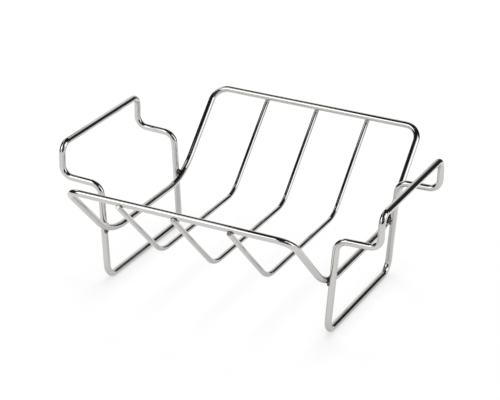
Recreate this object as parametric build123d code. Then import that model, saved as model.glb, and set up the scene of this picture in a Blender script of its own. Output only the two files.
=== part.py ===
"""Roasting rack of welded bright steel wire, in millimetres.

A closed frame of heavy wire outlines a trough: a flat floor between two panels that lean out at 45 degrees.
Three lighter wires follow the same trough below it, and are welded under its two rails.
A closed end frame of heavy wire at each end is a foot, two legs, two shelves and a handle bar.

The origin is the middle of the footprint on the surface that the rack stands on.
X runs along the rails, from handle to handle, Y across the trough, and Z up.
"""
from build123d import *
from math import cos, radians, sin, sqrt, tan
import os

# Wire sizes and how deep a resistance weld sinks one wire into another
heavy_wire = 6.0
light_wire = 4.5
leg_weld_sink = 0.2
rail_weld_sink = 0.8

# Trough, to the centre line of its heavy wire
trough_half_length = 104.5
floor_half_width = 66.4
floor_height = 47.5
panel_run = 68.9
panel_angle = 45.0
rail_corner_radius = 14.0
floor_bend_radius = 61.0

# Light trough wires
light_wire_pitch = 51.2
light_wire_count = 3
light_bend_radius = 30.0
light_wire_overhang = 2.5
cut_end_rounding = 0.8

# End frames, to the centre line of their heavy wire
end_half_width = 65.7
leg_lean_angle = 3.7
shelf_rise = 1.3
handle_half_span = 151.6
handle_height = 122.1
handle_rise = 29.4
foot_corner_radius = 11.5
leg_bend_radius = 10.5
shelf_bend_radius = 10.0
handle_corner_radius = 9.5

# Worked out from the sizes above
heavy_radius = heavy_wire / 2
light_radius = light_wire / 2
rail_half_span = floor_half_width + panel_run
rail_height = floor_height + panel_run * tan(radians(panel_angle))
light_offset = heavy_radius + light_radius - rail_weld_sink
shelf_height = handle_height - handle_rise - shelf_rise


def bent_wire(points, bend_radii, wire_diameter):
    """One length of round wire through the points, with a true arc at each bend."""
    path = FilletPolyline(*points, radius=bend_radii)
    section = Plane(origin=path @ 0, z_dir=path % 0) * Circle(wire_diameter / 2)
    return sweep(section, path=path)


def trough_frame():
    """The closed heavy wire round the trough: half a loop, and its mirror image."""
    half_loop = [
        (0, rail_half_span, rail_height),
        (trough_half_length, rail_half_span, rail_height),
        (trough_half_length, floor_half_width, floor_height),
        (trough_half_length, -floor_half_width, floor_height),
        (trough_half_length, -rail_half_span, rail_height),
        (0, -rail_half_span, rail_height),
    ]
    radii = [rail_corner_radius, floor_bend_radius, floor_bend_radius, rail_corner_radius]
    half = bent_wire(half_loop, radii, heavy_wire)
    return half + mirror(half, about=Plane.YZ)


def light_trough_wire(x):
    """A light wire under the trough, one wire's seat outside the heavy frame all the way."""
    slope = radians(panel_angle)
    bend_y = floor_half_width + light_offset * tan(slope / 2)
    bend_z = floor_height - light_offset
    end_y = rail_half_span + light_offset * sin(slope) + light_wire_overhang * cos(slope)
    end_z = rail_height - light_offset * cos(slope) + light_wire_overhang * sin(slope)
    points = [(x, end_y, end_z), (x, bend_y, bend_z), (x, -bend_y, bend_z), (x, -end_y, end_z)]
    wire = bent_wire(points, [light_bend_radius, light_bend_radius], light_wire)
    cut_ends = wire.faces().filter_by(GeomType.PLANE)
    return fillet(cut_ends.edges(), cut_end_rounding)


def leg_x(z):
    """Where a leg's centre line stands at a height: at the weld it bears on the trough's side wire."""
    bend_start = floor_half_width - floor_bend_radius * tan(radians(panel_angle) / 2)
    along_bend = max(end_half_width - bend_start, 0)
    weld_rise = floor_bend_radius - sqrt(floor_bend_radius**2 - along_bend**2)
    weld_x = trough_half_length + heavy_wire - leg_weld_sink
    return weld_x + (z - floor_height - weld_rise) * tan(radians(leg_lean_angle))


def end_frame():
    """The closed heavy wire at the +X end: half of foot, leg, shelf and handle bar, and its mirror image."""
    foot_z = heavy_radius
    half_loop = [
        (leg_x(foot_z), 0, foot_z),
        (leg_x(foot_z), end_half_width, foot_z),
        (leg_x(shelf_height), end_half_width, shelf_height),
        (handle_half_span, end_half_width, shelf_height + shelf_rise),
        (handle_half_span, end_half_width, handle_height),
        (handle_half_span, 0, handle_height),
    ]
    radii = [foot_corner_radius, leg_bend_radius, shelf_bend_radius, handle_corner_radius]
    half = bent_wire(half_loop, radii, heavy_wire)
    return half + mirror(half, about=Plane.XZ)


right_end = end_frame()
left_end = mirror(right_end, about=Plane.YZ)
whole_trough = trough_frame()

# A weld leaves a shallow seat: the legs in the trough's side wires, the rails in the light wires
seated_trough = whole_trough - right_end - left_end
light_wires = [
    light_trough_wire((index - (light_wire_count - 1) / 2) * light_wire_pitch) - whole_trough
    for index in range(light_wire_count)
]

pieces = {"trough_frame": seated_trough, "left_end_frame": left_end, "right_end_frame": right_end}
for number, wire in enumerate(light_wires, start=1):
    pieces[f"trough_wire_{number}"] = wire

os.makedirs("parts", exist_ok=True)
for name, piece in pieces.items():
    export_step(piece, f"parts/{name}.step")
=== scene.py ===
# %% [markdown]
# # A roasting rack of bright welded wire
#
# The real rack is six lengths of round steel wire, bent and then welded to each other: a heavy frame
# round an open trough, three lighter wires under it, and at each end a heavy loop that is foot, legs,
# shelves and handle bar in one. Its solids are ready, and they stay where they are. This lesson gives
# each wire a smooth skin and a bright finish, adds the weld marks, and sets up a white studio. The first
# cell loads the solids, and its helper reads the box of any of them.

# %% Load the solids
import math
import bpy
from mathutils import Matrix, Vector


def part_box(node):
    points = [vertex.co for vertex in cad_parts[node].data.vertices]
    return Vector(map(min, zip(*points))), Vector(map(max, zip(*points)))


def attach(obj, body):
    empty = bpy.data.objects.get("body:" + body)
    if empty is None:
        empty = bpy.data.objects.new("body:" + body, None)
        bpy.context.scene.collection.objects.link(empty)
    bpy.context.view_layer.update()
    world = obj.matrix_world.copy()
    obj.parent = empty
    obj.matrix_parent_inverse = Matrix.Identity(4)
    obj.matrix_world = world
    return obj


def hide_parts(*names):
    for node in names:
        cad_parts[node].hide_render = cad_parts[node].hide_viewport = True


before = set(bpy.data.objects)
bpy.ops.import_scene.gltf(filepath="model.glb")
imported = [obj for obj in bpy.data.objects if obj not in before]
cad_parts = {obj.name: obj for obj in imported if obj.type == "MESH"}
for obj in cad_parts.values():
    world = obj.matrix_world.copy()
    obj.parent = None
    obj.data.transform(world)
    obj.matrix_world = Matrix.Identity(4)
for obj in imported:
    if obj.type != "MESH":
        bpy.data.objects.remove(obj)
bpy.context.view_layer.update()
MM = 0.001
print("solids:", ", ".join(sorted(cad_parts)))

# %% [markdown]
# ## How a node tree is written
#
# Both Geometry Nodes and materials are trees of nodes with links between sockets. Writing each link as a
# line of its own soon hides the idea, so one helper makes a node, fills its inputs and links the inputs
# that come from another node. An input is named by the text that the editor shows beside its socket.
# Only the Mix node is awkward: it keeps a set of sockets for each kind of value under the same names, so
# its colour sockets are taken by their place.

# %% A helper that adds one node
COLOUR_A = 6
COLOUR_B = 7
COLOUR_RESULT = 2


def add_node(tree, kind, inputs=None, **settings):
    """A new node in the tree. An input's value is a plain value or another node's output socket."""
    made = tree.nodes.new(kind)
    for name, value in settings.items():
        setattr(made, name, value)
    for name, value in (inputs or {}).items():
        if isinstance(value, bpy.types.NodeSocket):
            tree.links.new(value, made.inputs[name])
        else:
            made.inputs[name].default_value = value
    return made


# %% [markdown]
# ## The finish of the wire
#
# The wire was drawn through a die, which leaves faint lines along it, and then plated to a near mirror.
# What makes it read as metal is what it mirrors, so its colour is nearly one value: about six tenths of
# the light comes back. The lines follow each wire round its bends. A pattern on Object coordinates would
# cut across a bend, so the finish reads an attribute that the wires bring with them, `straight_place`:
# where each point lay while the wire was straight. Stretching a noise along that wire's length turns it
# into drawn lines. A second, larger noise on Object coordinates varies the polish a little, as handling
# does.
#
# The light wires' ends were sheared off before the plating, so a cut is duller than the wire, and the
# weld beside it has burnt some cuts darker than others. The wires bring `girth` too, which drops below 1
# only at a cut.

# %% Bright plated wire
PLATE_COLOUR = (0.605, 0.595, 0.58, 1)
PLATE_SHADE = (0.555, 0.545, 0.53, 1)
DRAWN_LINE_WIDTH = 0.35 * MM
DRAWN_LINE_STRETCH = 0.02
DRAWN_LINE_DEPTH = 0.0015 * MM
POLISH_PATCH = 18 * MM
POLISH_SPREAD = (0.3, 0.7)
ROUGHNESS_POLISHED = 0.05
ROUGHNESS_DULL = 0.11
CUT_BRIGHT = (0.78, 0.76, 0.74, 1)
CUT_BURNT = (0.13, 0.125, 0.12, 1)
CUT_ROUGHNESS = 0.35
FULL_GIRTH = 1.0
CUT_GIRTH = 0.7
BURN_PATCH = 60 * MM
BURN_SPREAD = (0.35, 0.65)
BURN_SEED = 1.0


def bright_wire_finish():
    """Near-mirror plating with faint drawn lines along the wire and uneven polish."""
    material = bpy.data.materials.new("bright_plated_wire")
    material.use_nodes = True
    tree = material.node_tree
    tree.nodes.clear()
    straight = add_node(tree, "ShaderNodeAttribute", attribute_name="straight_place")
    stretched = add_node(tree, "ShaderNodeMapping", {
        "Vector": straight.outputs["Vector"], "Scale": (1, 1, DRAWN_LINE_STRETCH)})
    lines = add_node(tree, "ShaderNodeTexNoise", {
        "Vector": stretched.outputs["Vector"], "Scale": 1 / DRAWN_LINE_WIDTH, "Detail": 3})
    place = add_node(tree, "ShaderNodeTexCoord")
    patches = add_node(tree, "ShaderNodeTexNoise", {
        "Vector": place.outputs["Object"], "Scale": 1 / POLISH_PATCH, "Detail": 4, "Roughness": 0.6})
    roughness = add_node(tree, "ShaderNodeMapRange", {
        "Value": patches.outputs["Fac"], "From Min": POLISH_SPREAD[0], "From Max": POLISH_SPREAD[1],
        "To Min": ROUGHNESS_POLISHED, "To Max": ROUGHNESS_DULL})
    plate = add_node(tree, "ShaderNodeMix", {
        0: patches.outputs["Fac"], COLOUR_A: PLATE_COLOUR, COLOUR_B: PLATE_SHADE}, data_type="RGBA")
    girth = add_node(tree, "ShaderNodeAttribute", attribute_name="girth")
    cut = add_node(tree, "ShaderNodeMapRange", {
        "Value": girth.outputs["Fac"], "From Min": FULL_GIRTH, "From Max": CUT_GIRTH})
    burns = add_node(tree, "ShaderNodeTexNoise", {
        "Vector": place.outputs["Object"], "W": BURN_SEED, "Scale": 1 / BURN_PATCH, "Detail": 0},
        noise_dimensions="4D")
    burnt = add_node(tree, "ShaderNodeMapRange", {
        "Value": burns.outputs["Fac"], "From Min": BURN_SPREAD[0], "From Max": BURN_SPREAD[1]})
    cut_colour = add_node(tree, "ShaderNodeMix", {
        0: burnt.outputs["Result"], COLOUR_A: CUT_BRIGHT, COLOUR_B: CUT_BURNT}, data_type="RGBA")
    colour = add_node(tree, "ShaderNodeMix", {
        0: cut.outputs["Result"], COLOUR_A: plate.outputs[COLOUR_RESULT],
        COLOUR_B: cut_colour.outputs[COLOUR_RESULT]}, data_type="RGBA")
    dullness = add_node(tree, "ShaderNodeMapRange", {
        "Value": cut.outputs["Result"], "To Min": roughness.outputs["Result"], "To Max": CUT_ROUGHNESS})
    bump = add_node(tree, "ShaderNodeBump", {
        "Height": lines.outputs["Fac"], "Distance": DRAWN_LINE_DEPTH, "Strength": 1.0})
    shader = add_node(tree, "ShaderNodeBsdfPrincipled", {
        "Base Color": colour.outputs[COLOUR_RESULT], "Roughness": dullness.outputs["Result"],
        "Normal": bump.outputs["Normal"], "Metallic": 1.0})
    add_node(tree, "ShaderNodeOutputMaterial", {"Surface": shader.outputs["BSDF"]})
    return material


wire_finish = bright_wire_finish()
print("finish:", wire_finish.name, "with", len(wire_finish.node_tree.nodes), "nodes")

# %% [markdown]
# ## The finish of the welds
#
# A resistance weld squeezes a little hot metal out between the two wires. It freezes in small lumps with
# a burnt skin, which the plating hardly covers, so it stays nearly black beside the bright wire. Its
# finish is a dark metal with a coarse bump and a few brighter grains.

# %% Squeezed-out weld metal
WELD_COLOUR = (0.035, 0.028, 0.027, 1)
WELD_GLINT = (0.36, 0.34, 0.32, 1)
GLINT_SPREAD = (0.45, 0.75)
WELD_GRAIN = 0.9 * MM
WELD_GRAIN_DEPTH = 0.12 * MM
WELD_ROUGHNESS = 0.45
GLINT_ROUGHNESS = 0.2


def weld_metal_finish():
    """Dull, darker metal with a coarse grain and a few brighter grains."""
    material = bpy.data.materials.new("weld_metal")
    material.use_nodes = True
    tree = material.node_tree
    tree.nodes.clear()
    place = add_node(tree, "ShaderNodeTexCoord")
    grain = add_node(tree, "ShaderNodeTexNoise", {
        "Vector": place.outputs["Object"], "Scale": 1 / WELD_GRAIN, "Detail": 4})
    bright = add_node(tree, "ShaderNodeMapRange", {
        "Value": grain.outputs["Fac"], "From Min": GLINT_SPREAD[0], "From Max": GLINT_SPREAD[1]})
    colour = add_node(tree, "ShaderNodeMix", {
        0: bright.outputs["Result"], COLOUR_A: WELD_COLOUR, COLOUR_B: WELD_GLINT}, data_type="RGBA")
    bump = add_node(tree, "ShaderNodeBump", {
        "Height": grain.outputs["Fac"], "Distance": WELD_GRAIN_DEPTH, "Strength": 1.0})
    roughness = add_node(tree, "ShaderNodeMapRange", {
        "Value": grain.outputs["Fac"], "To Min": WELD_ROUGHNESS, "To Max": GLINT_ROUGHNESS})
    shader = add_node(tree, "ShaderNodeBsdfPrincipled", {
        "Base Color": colour.outputs[COLOUR_RESULT], "Roughness": roughness.outputs["Result"],
        "Normal": bump.outputs["Normal"], "Metallic": 1.0})
    add_node(tree, "ShaderNodeOutputMaterial", {"Surface": shader.outputs["BSDF"]})
    return material


weld_finish = weld_metal_finish()
print("finish:", weld_finish.name)

# %% [markdown]
# ## A bent wire as a rule
#
# Every wire here follows one rule: straight runs, a true arc at each bend, and the same round section
# all the way. So one Geometry Nodes tree makes them all. Its input is the line that the wire would
# follow if each bend were a sharp corner. Mesh to Curve makes it a path, Fillet Curve rounds each corner
# by that corner's own `bend_radius`, and Curve to Mesh sweeps a circle along it, thinner where `girth`
# says so, which rounds a cut end. Before the sweep, the path stores how far along each point is, and the
# circle stores its own outline. Together they say where a point lay on the straight wire, which the
# finish reads.

# %% Helpers for a tree's inputs and attributes
def add_input(tree, name, kind, value=None):
    """A named input of the tree, and the value that it has when the modifier gives none."""
    socket = tree.interface.new_socket(name, in_out="INPUT", socket_type="NodeSocket" + kind)
    if value is not None:
        socket.default_value = value


def named_attribute(tree, name, kind):
    """A node that reads a stored attribute."""
    return add_node(tree, "GeometryNodeInputNamedAttribute", {"Name": name}, data_type=kind)


# %% The bent wire tree
HEAVY_RADIUS = 3.0 * MM
LIGHT_RADIUS = 2.25 * MM
WIRE_SIDES = 32
BEND_STEPS = 24


def bent_wire_tree():
    """Corner points with bend_radius and girth in, a swept wire out."""
    tree = bpy.data.node_groups.new("bent_wire", "GeometryNodeTree")
    add_input(tree, "Corners", "Geometry")
    add_input(tree, "Wire Radius", "Float", HEAVY_RADIUS)
    add_input(tree, "Sides", "Int", WIRE_SIDES)
    add_input(tree, "Bend Steps", "Int", BEND_STEPS)
    add_input(tree, "Finish", "Material")
    tree.interface.new_socket("Wire", in_out="OUTPUT", socket_type="NodeSocketGeometry")
    given = add_node(tree, "NodeGroupInput").outputs
    path = add_node(tree, "GeometryNodeMeshToCurve", {"Mesh": given["Corners"]})
    bend_radius = named_attribute(tree, "bend_radius", "FLOAT")
    bent = add_node(tree, "GeometryNodeFilletCurve", {
        "Curve": path.outputs["Curve"], "Count": given["Bend Steps"],
        "Radius": bend_radius.outputs["Attribute"]}, mode="POLY")
    run = add_node(tree, "GeometryNodeSplineParameter")
    measured = add_node(tree, "GeometryNodeStoreNamedAttribute", {
        "Geometry": bent.outputs["Curve"], "Name": "along", "Value": run.outputs["Length"]},
        data_type="FLOAT")
    circle = add_node(tree, "GeometryNodeCurvePrimitiveCircle", {
        "Resolution": given["Sides"], "Radius": given["Wire Radius"]}, mode="RADIUS")
    outline = add_node(tree, "GeometryNodeInputPosition")
    section = add_node(tree, "GeometryNodeStoreNamedAttribute", {
        "Geometry": circle.outputs["Curve"], "Name": "across", "Value": outline.outputs["Position"]},
        data_type="FLOAT_VECTOR")
    girth = named_attribute(tree, "girth", "FLOAT")
    swept = add_node(tree, "GeometryNodeCurveToMesh", {
        "Curve": measured.outputs["Geometry"], "Profile Curve": section.outputs["Geometry"],
        "Scale": girth.outputs["Attribute"], "Fill Caps": True})
    along = named_attribute(tree, "along", "FLOAT")
    across = named_attribute(tree, "across", "FLOAT_VECTOR")
    flat = add_node(tree, "ShaderNodeSeparateXYZ", {"Vector": across.outputs["Attribute"]})
    straight = add_node(tree, "ShaderNodeCombineXYZ", {
        "X": flat.outputs["X"], "Y": flat.outputs["Y"], "Z": along.outputs["Attribute"]})
    marked = add_node(tree, "GeometryNodeStoreNamedAttribute", {
        "Geometry": swept.outputs["Mesh"], "Name": "straight_place", "Value": straight.outputs["Vector"]},
        data_type="FLOAT_VECTOR")
    smooth = add_node(tree, "GeometryNodeSetShadeSmooth", {"Geometry": marked.outputs["Geometry"]})
    real = add_node(tree, "GeometryNodeRealizeInstances", {"Geometry": smooth.outputs["Geometry"]})
    finished = add_node(tree, "GeometryNodeSetMaterial", {
        "Geometry": real.outputs["Geometry"], "Material": given["Finish"]})
    add_node(tree, "NodeGroupOutput", {"Wire": finished.outputs["Geometry"]})
    return tree


wire_tree = bent_wire_tree()
print("tree:", wire_tree.name, "with", len(wire_tree.nodes), "nodes")

# %% [markdown]
# ## From the tree to a plain piece
#
# The tree runs as a modifier on a mesh of points and edges. The pieces have to be plain meshes in the
# end, with no modifier, so the helper sets the modifier's inputs by their identifiers, lets Blender
# evaluate it once, keeps the result as a new mesh and removes the helper object. The new object sits at
# the origin, and its place is in its mesh.

# %% Helpers that run a tree and keep its mesh
def run_tree(name, tree, source_mesh, values):
    """A plain object with the mesh that the tree makes of the source mesh."""
    source = bpy.data.objects.new(name + "_source", source_mesh)
    bpy.context.scene.collection.objects.link(source)
    modifier = source.modifiers.new("tree", "NODES")
    modifier.node_group = tree
    for item in tree.interface.items_tree:
        if item.in_out == "INPUT" and item.name in values:
            modifier[item.identifier] = values[item.name]
    evaluated = source.evaluated_get(bpy.context.evaluated_depsgraph_get())
    piece = bpy.data.objects.new(name, bpy.data.meshes.new_from_object(evaluated))
    bpy.context.scene.collection.objects.link(piece)
    source.modifiers.clear()
    bpy.data.objects.remove(source)
    return piece


def bend_wire(name, corners, wire_radius, closed, replaced_node):
    """One wire through the corners, each a place, a bend radius and a girth, in the place of its solid."""
    places = [corner[0] for corner in corners]
    edges = [(index, index + 1) for index in range(len(places) - 1)]
    if closed:
        edges.append((len(places) - 1, 0))
    line = bpy.data.meshes.new(name + "_line")
    line.from_pydata(places, edges, [])
    line.attributes.new("bend_radius", "FLOAT", "POINT").data.foreach_set("value", [c[1] for c in corners])
    line.attributes.new("girth", "FLOAT", "POINT").data.foreach_set("value", [c[2] for c in corners])
    wire = run_tree(name, wire_tree, line, {"Wire Radius": wire_radius, "Finish": wire_finish})
    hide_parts(replaced_node)
    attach(wire, "root")
    print(f"{name}: {len(wire.data.polygons)} faces, in place of {replaced_node}")


# %% [markdown]
# ## The trough frame
#
# One heavy wire goes round the whole trough: along one rail, down the sloping panel, across the floor,
# up the other panel and back along the other rail. Its corner places come from the box of its solid, so
# the skin can't drift away from it. The panels stand at 45 degrees, which gives the place where the
# floor ends. The loop's two ends meet in a flush joint on the left side wire, so the path starts and
# ends there.

# %% Bend the trough frame
PANEL_SLOPE = math.radians(45)
RAIL_CORNER_RADIUS = 14 * MM
FLOOR_BEND_RADIUS = 61 * MM
LOOP_JOINT = 1 * MM

trough_low, trough_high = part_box("trough_frame")
side_x = trough_high.x - HEAVY_RADIUS
rail_y = trough_high.y - HEAVY_RADIUS
rail_z = trough_high.z - HEAVY_RADIUS
floor_z = trough_low.z + HEAVY_RADIUS
floor_edge_y = rail_y - (rail_z - floor_z) / math.tan(PANEL_SLOPE)


def trough_side(x, joint):
    """A side wire's corners at that x, from the middle of the floor to the front rail."""
    return [
        ((x, -joint, floor_z), 0, FULL_GIRTH),
        ((x, -floor_edge_y, floor_z), FLOOR_BEND_RADIUS, FULL_GIRTH),
        ((x, -rail_y, rail_z), RAIL_CORNER_RADIUS, FULL_GIRTH),
    ]


def other_side(corners):
    """The same corners on the other side of the trough's middle, in the opposite order."""
    return [((x, -y, z), radius, girth) for (x, y, z), radius, girth in reversed(corners)]


left_front = trough_side(-side_x, LOOP_JOINT / 2)
right_front = trough_side(side_x, 0)[1:]
trough_corners = left_front + right_front[::-1] + other_side(right_front[::-1]) + other_side(left_front)
bend_wire("trough_frame_wire", trough_corners, HEAVY_RADIUS, True, "trough_frame")

# %% [markdown]
# ## The three light wires
#
# They follow the same trough just outside the heavy frame, and the welds pull them a little way into its
# rails. Each is cut off square a little past the rail, and the edge of the cut is rounded by tumbling.
# The tree can't round an edge, but it can thin the sweep: a few extra points near each end, with a girth
# that follows a quarter of a circle, give the same shape.

# %% Bend the light wires
LIGHT_BEND_RADIUS = 30 * MM
RAIL_OVERHANG = 2.5 * MM
CUT_ROUNDING = 0.8 * MM
ROUNDING_STEPS = 5


def rounded_end(end, inward):
    """Points from a cut end inwards, where the wire swells to its full girth along a quarter circle."""
    corners = []
    for step in range(ROUNDING_STEPS + 1):
        turn = math.radians(90) * step / ROUNDING_STEPS
        girth = 1 - CUT_ROUNDING / LIGHT_RADIUS * (1 - math.sin(turn))
        corners.append((tuple(end + inward * CUT_ROUNDING * (1 - math.cos(turn))), 0, girth))
    return corners


def light_wire_corners(x, offset):
    """A light wire's corners from its front end to its back end, offset outwards from the heavy frame."""
    bend_y = floor_edge_y + offset * math.tan(PANEL_SLOPE / 2)
    uphill = Vector((0, -math.cos(PANEL_SLOPE), math.sin(PANEL_SLOPE)))
    outwards = Vector((0, -math.sin(PANEL_SLOPE), -math.cos(PANEL_SLOPE)))
    front_end = Vector((x, -rail_y, rail_z)) + outwards * offset + uphill * RAIL_OVERHANG
    front = rounded_end(front_end, -uphill)
    front.append(((x, -bend_y, floor_z - offset), LIGHT_BEND_RADIUS, FULL_GIRTH))
    return front + other_side(front)


for number in (1, 2, 3):
    node_name = f"trough_wire_{number}"
    low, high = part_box(node_name)
    light_offset = floor_z - (low.z + LIGHT_RADIUS)
    corners = light_wire_corners((low.x + high.x) / 2, light_offset)
    bend_wire(f"light_wire_{number}", corners, LIGHT_RADIUS, False, node_name)
print("light wires lie", round(light_offset / MM, 2), "mm outside the heavy frame")

# %% [markdown]
# ## The end frames
#
# Each end frame is one heavy loop: a foot bar on the table, two legs that lean out a little, two short
# shelves that reach outwards, and a handle bar held up above them. The box of its solid gives the foot,
# the handle and the width. The height of the shelf and the lean of the legs can't be read from a box, so
# they are named values.

# %% Bend the end frames
LEG_LEAN = math.radians(3.7)
SHELF_HEIGHT = 91.4 * MM
SHELF_RISE = 1.3 * MM
FOOT_CORNER_RADIUS = 11.5 * MM
LEG_BEND_RADIUS = 10.5 * MM
SHELF_BEND_RADIUS = 10 * MM
HANDLE_CORNER_RADIUS = 9.5 * MM


def leg_x(foot_x, z):
    """How far out a leg's centre line is at a height, for a foot at foot_x."""
    return foot_x + (z - HEAVY_RADIUS) * math.tan(LEG_LEAN)


end_low, end_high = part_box("right_end_frame")
foot_x = end_low.x + HEAVY_RADIUS
handle_x = end_high.x - HEAVY_RADIUS
end_y = end_high.y - HEAVY_RADIUS
handle_z = end_high.z - HEAVY_RADIUS


def end_frame_corners(side):
    """The loop of one end frame, where side is 1 for the right end and -1 for the left end."""
    front = [
        ((side * foot_x, -LOOP_JOINT / 2, HEAVY_RADIUS), 0, FULL_GIRTH),
        ((side * foot_x, -end_y, HEAVY_RADIUS), FOOT_CORNER_RADIUS, FULL_GIRTH),
        ((side * leg_x(foot_x, SHELF_HEIGHT), -end_y, SHELF_HEIGHT), LEG_BEND_RADIUS, FULL_GIRTH),
        ((side * handle_x, -end_y, SHELF_HEIGHT + SHELF_RISE), SHELF_BEND_RADIUS, FULL_GIRTH),
        ((side * handle_x, -end_y, handle_z), HANDLE_CORNER_RADIUS, FULL_GIRTH),
    ]
    return front + other_side(front)


bend_wire("right_end_wire", end_frame_corners(1), HEAVY_RADIUS, True, "right_end_frame")
bend_wire("left_end_wire", end_frame_corners(-1), HEAVY_RADIUS, True, "left_end_frame")

# %% [markdown]
# ## The weld marks
#
# There are ten welds: each leg on a side wire, and each end of a light wire under a rail. Round each one
# a little metal is squeezed out into the narrow gap between the two round wires. A weld mark is a
# flattened ball, set at the contact with its flat side between the wires, and made lumpy by a noise. It
# could be modelled by hand at each weld, but ten marks of one kind are work for one tree. Geometry Nodes
# place the ball at each weld point, turned and sized by the point's own attributes. The balls are made
# real before the noise moves their points, because an instance can only be moved as a whole.

# %% The weld mark tree
WELD_LUMP_SIZE = 1.6 * MM
WELD_LUMP_HEIGHT = 1.1 * MM
WELD_LUMP_SEED = 3.0
WELD_LUMP_DETAIL = 1.5
BALL_SUBDIVISIONS = 4


def weld_mark_tree():
    """Points with weld_turn and weld_size in, lumpy flattened balls out."""
    tree = bpy.data.node_groups.new("weld_marks", "GeometryNodeTree")
    add_input(tree, "Weld Points", "Geometry")
    add_input(tree, "Lump Size", "Float", WELD_LUMP_SIZE)
    add_input(tree, "Lump Height", "Float", WELD_LUMP_HEIGHT)
    add_input(tree, "Seed", "Float", WELD_LUMP_SEED)
    add_input(tree, "Finish", "Material")
    tree.interface.new_socket("Marks", in_out="OUTPUT", socket_type="NodeSocketGeometry")
    given = add_node(tree, "NodeGroupInput").outputs
    ball = add_node(tree, "GeometryNodeMeshIcoSphere", {"Radius": 1.0, "Subdivisions": BALL_SUBDIVISIONS})
    turn = named_attribute(tree, "weld_turn", "FLOAT_VECTOR")
    size = named_attribute(tree, "weld_size", "FLOAT_VECTOR")
    placed = add_node(tree, "GeometryNodeInstanceOnPoints", {
        "Points": given["Weld Points"], "Instance": ball.outputs["Mesh"],
        "Rotation": turn.outputs["Attribute"], "Scale": size.outputs["Attribute"]})
    balls = add_node(tree, "GeometryNodeRealizeInstances", {"Geometry": placed.outputs["Instances"]})
    where = add_node(tree, "GeometryNodeInputPosition")
    spacing = add_node(tree, "ShaderNodeMath", {0: 1.0, 1: given["Lump Size"]}, operation="DIVIDE")
    lumps = add_node(tree, "ShaderNodeTexNoise", {
        "Vector": where.outputs["Position"], "W": given["Seed"], "Scale": spacing.outputs["Value"],
        "Detail": WELD_LUMP_DETAIL}, noise_dimensions="4D")
    centred = add_node(tree, "ShaderNodeMath", {0: lumps.outputs["Fac"], 1: 0.5}, operation="SUBTRACT")
    height = add_node(tree, "ShaderNodeMath", {
        0: centred.outputs["Value"], 1: given["Lump Height"]}, operation="MULTIPLY")
    outwards = add_node(tree, "GeometryNodeInputNormal")
    push = add_node(tree, "ShaderNodeVectorMath", {
        0: outwards.outputs["Normal"], "Scale": height.outputs["Value"]}, operation="SCALE")
    lumpy = add_node(tree, "GeometryNodeSetPosition", {
        "Geometry": balls.outputs["Geometry"], "Offset": push.outputs["Vector"]})
    smooth = add_node(tree, "GeometryNodeSetShadeSmooth", {"Geometry": lumpy.outputs["Geometry"]})
    real = add_node(tree, "GeometryNodeRealizeInstances", {"Geometry": smooth.outputs["Geometry"]})
    finished = add_node(tree, "GeometryNodeSetMaterial", {
        "Geometry": real.outputs["Geometry"], "Material": given["Finish"]})
    add_node(tree, "NodeGroupOutput", {"Marks": finished.outputs["Geometry"]})
    return tree


weld_tree = weld_mark_tree()
print("tree:", weld_tree.name, "with", len(weld_tree.nodes), "nodes")

# %% [markdown]
# ## Where the welds are
#
# A weld's place follows from the wires. Under a rail it lies on the line from the middle of the rail to
# the middle of the light wire, which is square to the slope. At a leg, the side wire is already rising
# in its bend, so its height there comes from the bend's circle. Each mark is turned so that its thin
# side faces from one wire to the other. The marks aren't quite alike: the one under the middle of a rail
# is the largest, and at the left front leg the metal has run down a little.

# %% Set the weld marks
RAIL_WELD_SIZE = (3.6 * MM, 2.4 * MM, 1.3 * MM)
LEG_WELD_SIZE = (3.3 * MM, 4.8 * MM, 1.9 * MM)
MIDDLE_WIRE = 2
OUTER_WIRE_SHARE = 0.86
LEFT_FRONT_SAG = 1.7 * MM


def weld_turn(first_wire, across_gap):
    """The turn that lays X along the first wire and Z across the gap between the two wires."""
    z_axis = Vector(across_gap).normalized()
    x_axis = Vector(first_wire).normalized()
    y_axis = z_axis.cross(x_axis).normalized()
    return Matrix((x_axis, y_axis, z_axis)).transposed().to_euler("XYZ")


bend_start_y = floor_edge_y - FLOOR_BEND_RADIUS * math.tan(PANEL_SLOPE / 2)
bend_turn_at_leg = math.asin((end_y - bend_start_y) / FLOOR_BEND_RADIUS)
leg_weld_z = floor_z + FLOOR_BEND_RADIUS * (1 - math.cos(bend_turn_at_leg))
rail_contact = HEAVY_RADIUS - (HEAVY_RADIUS + LIGHT_RADIUS - light_offset) / 2

welds = []
for toward_back in (-1, 1):
    outwards = Vector((0, toward_back * math.sin(PANEL_SLOPE), -math.cos(PANEL_SLOPE)))
    for number in (1, 2, 3):
        low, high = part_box(f"trough_wire_{number}")
        rail_point = Vector(((low.x + high.x) / 2, toward_back * rail_y, rail_z))
        share = 1 if number == MIDDLE_WIRE else OUTER_WIRE_SHARE
        weld_size = tuple(share * reach for reach in RAIL_WELD_SIZE)
        welds.append((rail_point + outwards * rail_contact, weld_turn((1, 0, 0), outwards), weld_size))
    for toward_right in (-1, 1):
        side_wire = (0, math.cos(bend_turn_at_leg), toward_back * math.sin(bend_turn_at_leg))
        sag = LEFT_FRONT_SAG if (toward_right, toward_back) == (-1, -1) else 0
        place = Vector((toward_right * (side_x + HEAVY_RADIUS), toward_back * end_y, leg_weld_z - sag))
        welds.append((place, weld_turn(side_wire, (toward_right, 0, 0)), LEG_WELD_SIZE))

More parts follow.
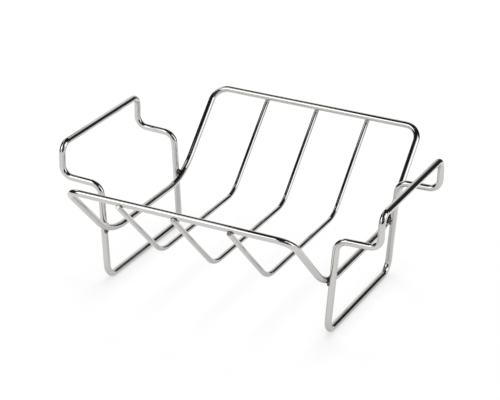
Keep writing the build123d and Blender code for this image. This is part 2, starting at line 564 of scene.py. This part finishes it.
weld_points = bpy.data.meshes.new("weld_points")
weld_points.from_pydata([weld[0] for weld in welds], [], [])
turns = weld_points.attributes.new("weld_turn", "FLOAT_VECTOR", "POINT")
turns.data.foreach_set("vector", [angle for weld in welds for angle in weld[1]])
sizes = weld_points.attributes.new("weld_size", "FLOAT_VECTOR", "POINT")
sizes.data.foreach_set("vector", [size for weld in welds for size in weld[2]])
weld_marks = run_tree("weld_marks", weld_tree, weld_points, {"Finish": weld_finish})
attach(weld_marks, "root")
print("weld marks:", len(welds), "with", len(weld_marks.data.polygons), "faces")

# %% [markdown]
# ## The white floor
#
# The rack stands on plain white. A white that renders as pure white everywhere has to be brighter than
# paint can be under plain light, so the floor adds a glow that only the camera and the metal see. The
# rest of its brightness comes from the lamps, and there the rack's shadow still shows.
#
# The metal needs one more thing from the floor. The legs and the front panel mirror the table just in
# front of them, and in the photograph they are greyer than a white table would make them. So for
# reflections alone the glow is weaker in an oval under the rack, and rises to its full strength outside
# it. The camera sees an even white.

# %% Mix the floor's white
FLOOR_PAINT = (0.5, 0.5, 0.5, 1)
FLOOR_GLOW = 0.55
# In the oval under the rack the glow is painted shade: it stands for the rack's shadow on the table, and
# only reflections see it.
SHADED_GLOW = 0.5
SHADED_MIDDLE = (0.02, 0.01)
SHADED_REACH = (0.22, 0.13)
SHADED_CORE = 0.35


def seen_directly(tree):
    """A factor that is 1 for what the camera, a reflection or a clear material sees, and 0 for lighting."""
    rays = add_node(tree, "ShaderNodeLightPath")
    shine = add_node(tree, "ShaderNodeMath", {
        0: rays.outputs["Is Camera Ray"], 1: rays.outputs["Is Glossy Ray"]}, operation="MAXIMUM")
    every = add_node(tree, "ShaderNodeMath", {
        0: shine.outputs["Value"], 1: rays.outputs["Is Transmission Ray"]}, operation="MAXIMUM")
    return every.outputs["Value"]


floor_finish = bpy.data.materials.new("white_floor")
floor_finish.use_nodes = True
floor_tree = floor_finish.node_tree
floor_tree.nodes.clear()
paint = add_node(floor_tree, "ShaderNodeBsdfDiffuse", {"Color": FLOOR_PAINT})
floor_place = add_node(floor_tree, "ShaderNodeTexCoord")
oval = add_node(floor_tree, "ShaderNodeMapping", {
    "Vector": floor_place.outputs["Object"],
    "Location": (-SHADED_MIDDLE[0] / SHADED_REACH[0], -SHADED_MIDDLE[1] / SHADED_REACH[1], 0),
    "Scale": (1 / SHADED_REACH[0], 1 / SHADED_REACH[1], 1)})
away = add_node(floor_tree, "ShaderNodeVectorMath", {0: oval.outputs["Vector"]}, operation="LENGTH")
shade = add_node(floor_tree, "ShaderNodeMapRange", {
    "Value": away.outputs["Value"], "From Min": SHADED_CORE, "To Min": SHADED_GLOW, "To Max": 1.0})
floor_rays = add_node(floor_tree, "ShaderNodeLightPath")
bleached = add_node(floor_tree, "ShaderNodeMath", {
    0: floor_rays.outputs["Is Camera Ray"], 1: shade.outputs["Result"]}, operation="MAXIMUM")
share = add_node(floor_tree, "ShaderNodeMath", {
    0: seen_directly(floor_tree), 1: bleached.outputs["Value"]}, operation="MULTIPLY")
strength = add_node(floor_tree, "ShaderNodeMath", {
    0: share.outputs["Value"], 1: FLOOR_GLOW}, operation="MULTIPLY")
glow = add_node(floor_tree, "ShaderNodeEmission", {"Strength": strength.outputs["Value"]})
both = add_node(floor_tree, "ShaderNodeAddShader", {0: paint.outputs["BSDF"], 1: glow.outputs["Emission"]})
add_node(floor_tree, "ShaderNodeOutputMaterial", {"Surface": both.outputs["Shader"]})
print("floor finish:", len(floor_tree.nodes), "nodes")

# %% [markdown]
# ## The floor itself
#
# The floor is one square, far larger than the picture, so that no edge of it shows at a low view. It
# needs no backdrop, because the room behind it is as white as the floor.

# %% Lay the floor
FLOOR_SIZE = 12.0

half = FLOOR_SIZE / 2
floor_corners = [(-half, -half, 0), (half, -half, 0), (half, half, 0), (-half, half, 0)]
floor_mesh = bpy.data.meshes.new("floor")
floor_mesh.from_pydata(floor_corners, [], [(0, 1, 2, 3)])
floor_mesh.materials.append(floor_finish)
floor = bpy.data.objects.new("floor", floor_mesh)
bpy.context.scene.collection.objects.link(floor)
print("floor:", FLOOR_SIZE, "m square")

# %% [markdown]
# ## The white room
#
# Above the floor the world is white too, for the camera and for the metal. As a light it is weaker, so
# that the lamps can still draw a shadow on the floor.

# %% Light the world
AMBIENT_LIGHT = 0.75

world = bpy.data.worlds.new("white_room")
bpy.context.scene.world = world
world.use_nodes = True
world_tree = world.node_tree
world_tree.nodes.clear()
level = add_node(world_tree, "ShaderNodeMapRange", {
    "Value": seen_directly(world_tree), "To Min": AMBIENT_LIGHT, "To Max": 1.0})
background = add_node(world_tree, "ShaderNodeBackground", {"Strength": level.outputs["Result"]})
background.inputs["Color"].default_value = (1, 1, 1, 1)
add_node(world_tree, "ShaderNodeOutputWorld", {"Surface": background.outputs["Background"]})
print("world: white for the camera, ambient light", AMBIENT_LIGHT)

# %% [markdown]
# ## Black cards
#
# Bright metal in an all white room has no edges: it mirrors white everywhere. A photographer hangs black
# cards round it, out of the picture, so that each wire mirrors a dark stripe between light ones. A wire
# mirrors a whole ring of directions, and wires that run differently mirror different rings, so each card
# gives its stripe to some of the wires. Only reflections see the cards: they cast no shadow and the
# camera looks through them.
#
# A card's edge shows as the edge of a stripe. Where the photograph has a soft edge, the card fades:
# along X its white glow grows until it can't be told from the room.

# %% Two finishes for the cards
CARD_COLOUR = (0.035, 0.035, 0.035, 1)
FADE_FROM_WHITE = -0.28
FADE_TO_BLACK = 0.16


def card_finish(name, fade=None):
    """Matt black, or with a fade between two places along X, from white to black."""
    material = bpy.data.materials.new(name)
    material.use_nodes = True
    tree = material.node_tree
    tree.nodes.clear()
    black = add_node(tree, "ShaderNodeBsdfDiffuse", {"Color": CARD_COLOUR})
    surface = black
    if fade:
        place = add_node(tree, "ShaderNodeTexCoord")
        along = add_node(tree, "ShaderNodeSeparateXYZ", {"Vector": place.outputs["Object"]})
        whiteness = add_node(tree, "ShaderNodeMapRange", {
            "Value": along.outputs["X"], "From Min": fade[0], "From Max": fade[1],
            "To Min": 1.0, "To Max": 0.0})
        white = add_node(tree, "ShaderNodeEmission", {"Strength": whiteness.outputs["Result"]})
        surface = add_node(tree, "ShaderNodeAddShader", {
            0: black.outputs["BSDF"], 1: white.outputs["Emission"]})
    add_node(tree, "ShaderNodeOutputMaterial", {"Surface": surface.outputs[0]})
    return material


black_finish = card_finish("black_card")
faded_finish = card_finish("faded_card", (FADE_FROM_WHITE, FADE_TO_BLACK))
print("card finishes:", black_finish.name, "and", faded_finish.name)

# %% [markdown]
# ## How a card is hung
#
# A card is a mesh between a lower and an upper edge, each a list of points, so it can have a slanting
# outline. A curved card keeps one distance from the rack, and is easier to give as columns: a bearing,
# counted from straight behind the rack and plus to the right, and the lower and the upper height there,
# as angles above the floor.

# %% Helpers that hang a card
HANGING_DISTANCE = 1.6


def toward(bearing, height, distance):
    """The point that far from the rack in the direction of a bearing and a height in degrees."""
    turn, rise = math.radians(bearing), math.radians(height)
    level = Vector((math.sin(turn), math.cos(turn), 0)) * math.cos(rise)
    return (level + Vector((0, 0, math.sin(rise)))) * distance


def black_card(name, lower_edge, upper_edge, finish=black_finish):
    """A card between two edges, each a list of as many points, seen only in reflections."""
    count = len(lower_edge)
    faces = [(index, index + 1, count + index + 1, count + index) for index in range(count - 1)]
    mesh = bpy.data.meshes.new(name)
    mesh.from_pydata(lower_edge + upper_edge, [], faces)
    mesh.materials.append(finish)
    card = bpy.data.objects.new(name, mesh)
    bpy.context.scene.collection.objects.link(card)
    card.visible_camera = False
    card.visible_diffuse = False
    card.visible_shadow = False
    print(f"{name}: {count - 1} panels")


def hanging_card(name, columns):
    """A curved card, given as bearings with the lower and the upper height there."""
    lower_edge = [toward(bearing, low, HANGING_DISTANCE) for bearing, low, high in columns]
    upper_edge = [toward(bearing, high, HANGING_DISTANCE) for bearing, low, high in columns]
    black_card(name, lower_edge, upper_edge)


# %% [markdown]
# ## The flat cards
#
# The card behind the rack gives the handle bars, the floor wires and the foot bars their dark line, and
# its left side fades. The narrow one lies level above the trough. It fills a gap in what the back
# panel's wires mirror, between the ceiling and the left card of the next cell.

# %% Hang the flat cards
black_card(
    "card_behind_right",
    [(-0.28, 0.50, 0), (0.02, 0.50, 0), (0.10, 0.50, 0), (0.60, 0.50, 0)],
    [(-0.28, 1.37, 1.37), (0.14, 1.32, 1.30), (0.30, 1.12, 0.98), (1.37, 1.12, 0.98)],
    faded_finish)
black_card(
    "card_above_trough",
    [(-0.40, -0.11, 0.49), (-0.03, -0.11, 0.49)],
    [(-0.40, -0.01, 0.49), (-0.03, -0.01, 0.49)])

# %% [markdown]
# ## The curved cards
#
# Three curved cards stand round the rack like a tent. The ceiling gives the rails and the shelves their
# dark line, and its lower edge rises and dips, since each line ends where that edge is mirrored. The
# back panel's wires mirror the ceiling in one half of their dark line and the left card in the other.
# The left card and the small front card also make dark spots in the bends.

# %% Hang the curved cards
CEILING_TOP = 88

ceiling_edge = [
    (-241, 55), (-233, 50), (-225, 42), (-215, 35), (-205, 31), (-190, 31), (-180, 33), (-171, 38),
    (-165, 45), (-158, 46), (-152, 48), (-147, 53), (-141, 58), (-134, 62), (-128, 66), (-110, 69),
    (-95, 69), (-88, 62), (-70, 50), (-50, 39), (-36, 29), (-30, 36), (-22, 45), (-12, 49), (0, 50),
    (8, 47), (15, 38), (35, 34), (48, 27), (56, 19), (63, 22), (69, 40), (74, 57), (80, 60), (100, 61),
    (119, 58)]
hanging_card("card_ceiling", [(bearing, low, CEILING_TOP) for bearing, low in ceiling_edge])
hanging_card("card_left", [
    (-148, 4, 8), (-140, -4, 16), (-128, -4, 18), (-127, -4, 58), (-120, -4, 59), (-115, -4, 59.5),
    (-104, -4, 56), (-92, -4, 48), (-80, -4, 37), (-70, -4, 33), (-62, -4, 31), (-56, 2, 27)])
hanging_card("card_front", [
    (102, 8, 30), (110, 8, 38), (120, 8, 46), (128, 8, 44), (136, 8, 37), (146, 8, 32), (156, 8, 29),
    (170, 8, 29), (178, 12, 29)])

# %% [markdown]
# ## The lamps
#
# A softbox above the front left gives the rails and the shelves their white line, and one at the right
# lights the right sides of the back panel's wires. Both work only as white shapes that the metal
# mirrors. A third lamp overhead lights the floor, makes the rack's soft shadow there, and stays out of
# the reflections.

# %% Hang the lamps
def softbox(name, place, size, power, in_reflections):
    """A rectangular area lamp that faces the rack."""
    data = bpy.data.lights.new(name, "AREA")
    data.shape = "RECTANGLE"
    data.size, data.size_y = size
    data.energy = power
    lamp = bpy.data.objects.new(name, data)
    bpy.context.scene.collection.objects.link(lamp)
    lamp.location = place
    lamp.rotation_euler = (-place).to_track_quat("-Z", "Y").to_euler()
    lamp.visible_glossy = in_reflections
    lamp.visible_diffuse = not in_reflections
    print(f"{name}: {size} m, {power} W")


softbox("front_left_softbox", toward(-145, 40, 1.5), size=(0.70, 0.75), power=2.3, in_reflections=True)
softbox("right_softbox", toward(86, 29, 1.5), size=(0.80, 0.80), power=2.0, in_reflections=True)
softbox("overhead_softbox", toward(-20, 75, 3.0), size=(1.2, 1.2), power=22.0, in_reflections=False)

# %% [markdown]
# ## The camera
#
# The camera stands to the front right and looks down by 25 degrees, with a long lens. Its place is given
# as a bearing, a height and a distance from the point in the middle of the picture, and it is rolled by
# about one degree, as the photograph was.

# %% Set the camera
PICTURE_MIDDLE = Vector((-0.0244, 0.0494, 0.05))
CAMERA_BEARING = 26.28
CAMERA_HEIGHT = 24.97
CAMERA_DISTANCE = 1.636
CAMERA_ROLL = 1.07
LENS = 128.9
SENSOR_WIDTH = 36.0

camera_data = bpy.data.cameras.new("camera")
camera_data.lens = LENS
camera_data.sensor_width = SENSOR_WIDTH
camera = bpy.data.objects.new("camera", camera_data)
bpy.context.scene.collection.objects.link(camera)
back = toward(180 - CAMERA_BEARING, CAMERA_HEIGHT, 1.0)
camera.location = PICTURE_MIDDLE + back * CAMERA_DISTANCE
facing = (-back).to_track_quat("-Z", "Y").to_matrix().to_4x4()
camera.rotation_euler = (facing @ Matrix.Rotation(math.radians(CAMERA_ROLL), 4, "Z")).to_euler()
bpy.context.scene.camera = camera
bpy.context.scene.view_settings.view_transform = "Standard"
print("camera at, mm:", [round(c / MM) for c in camera.location])
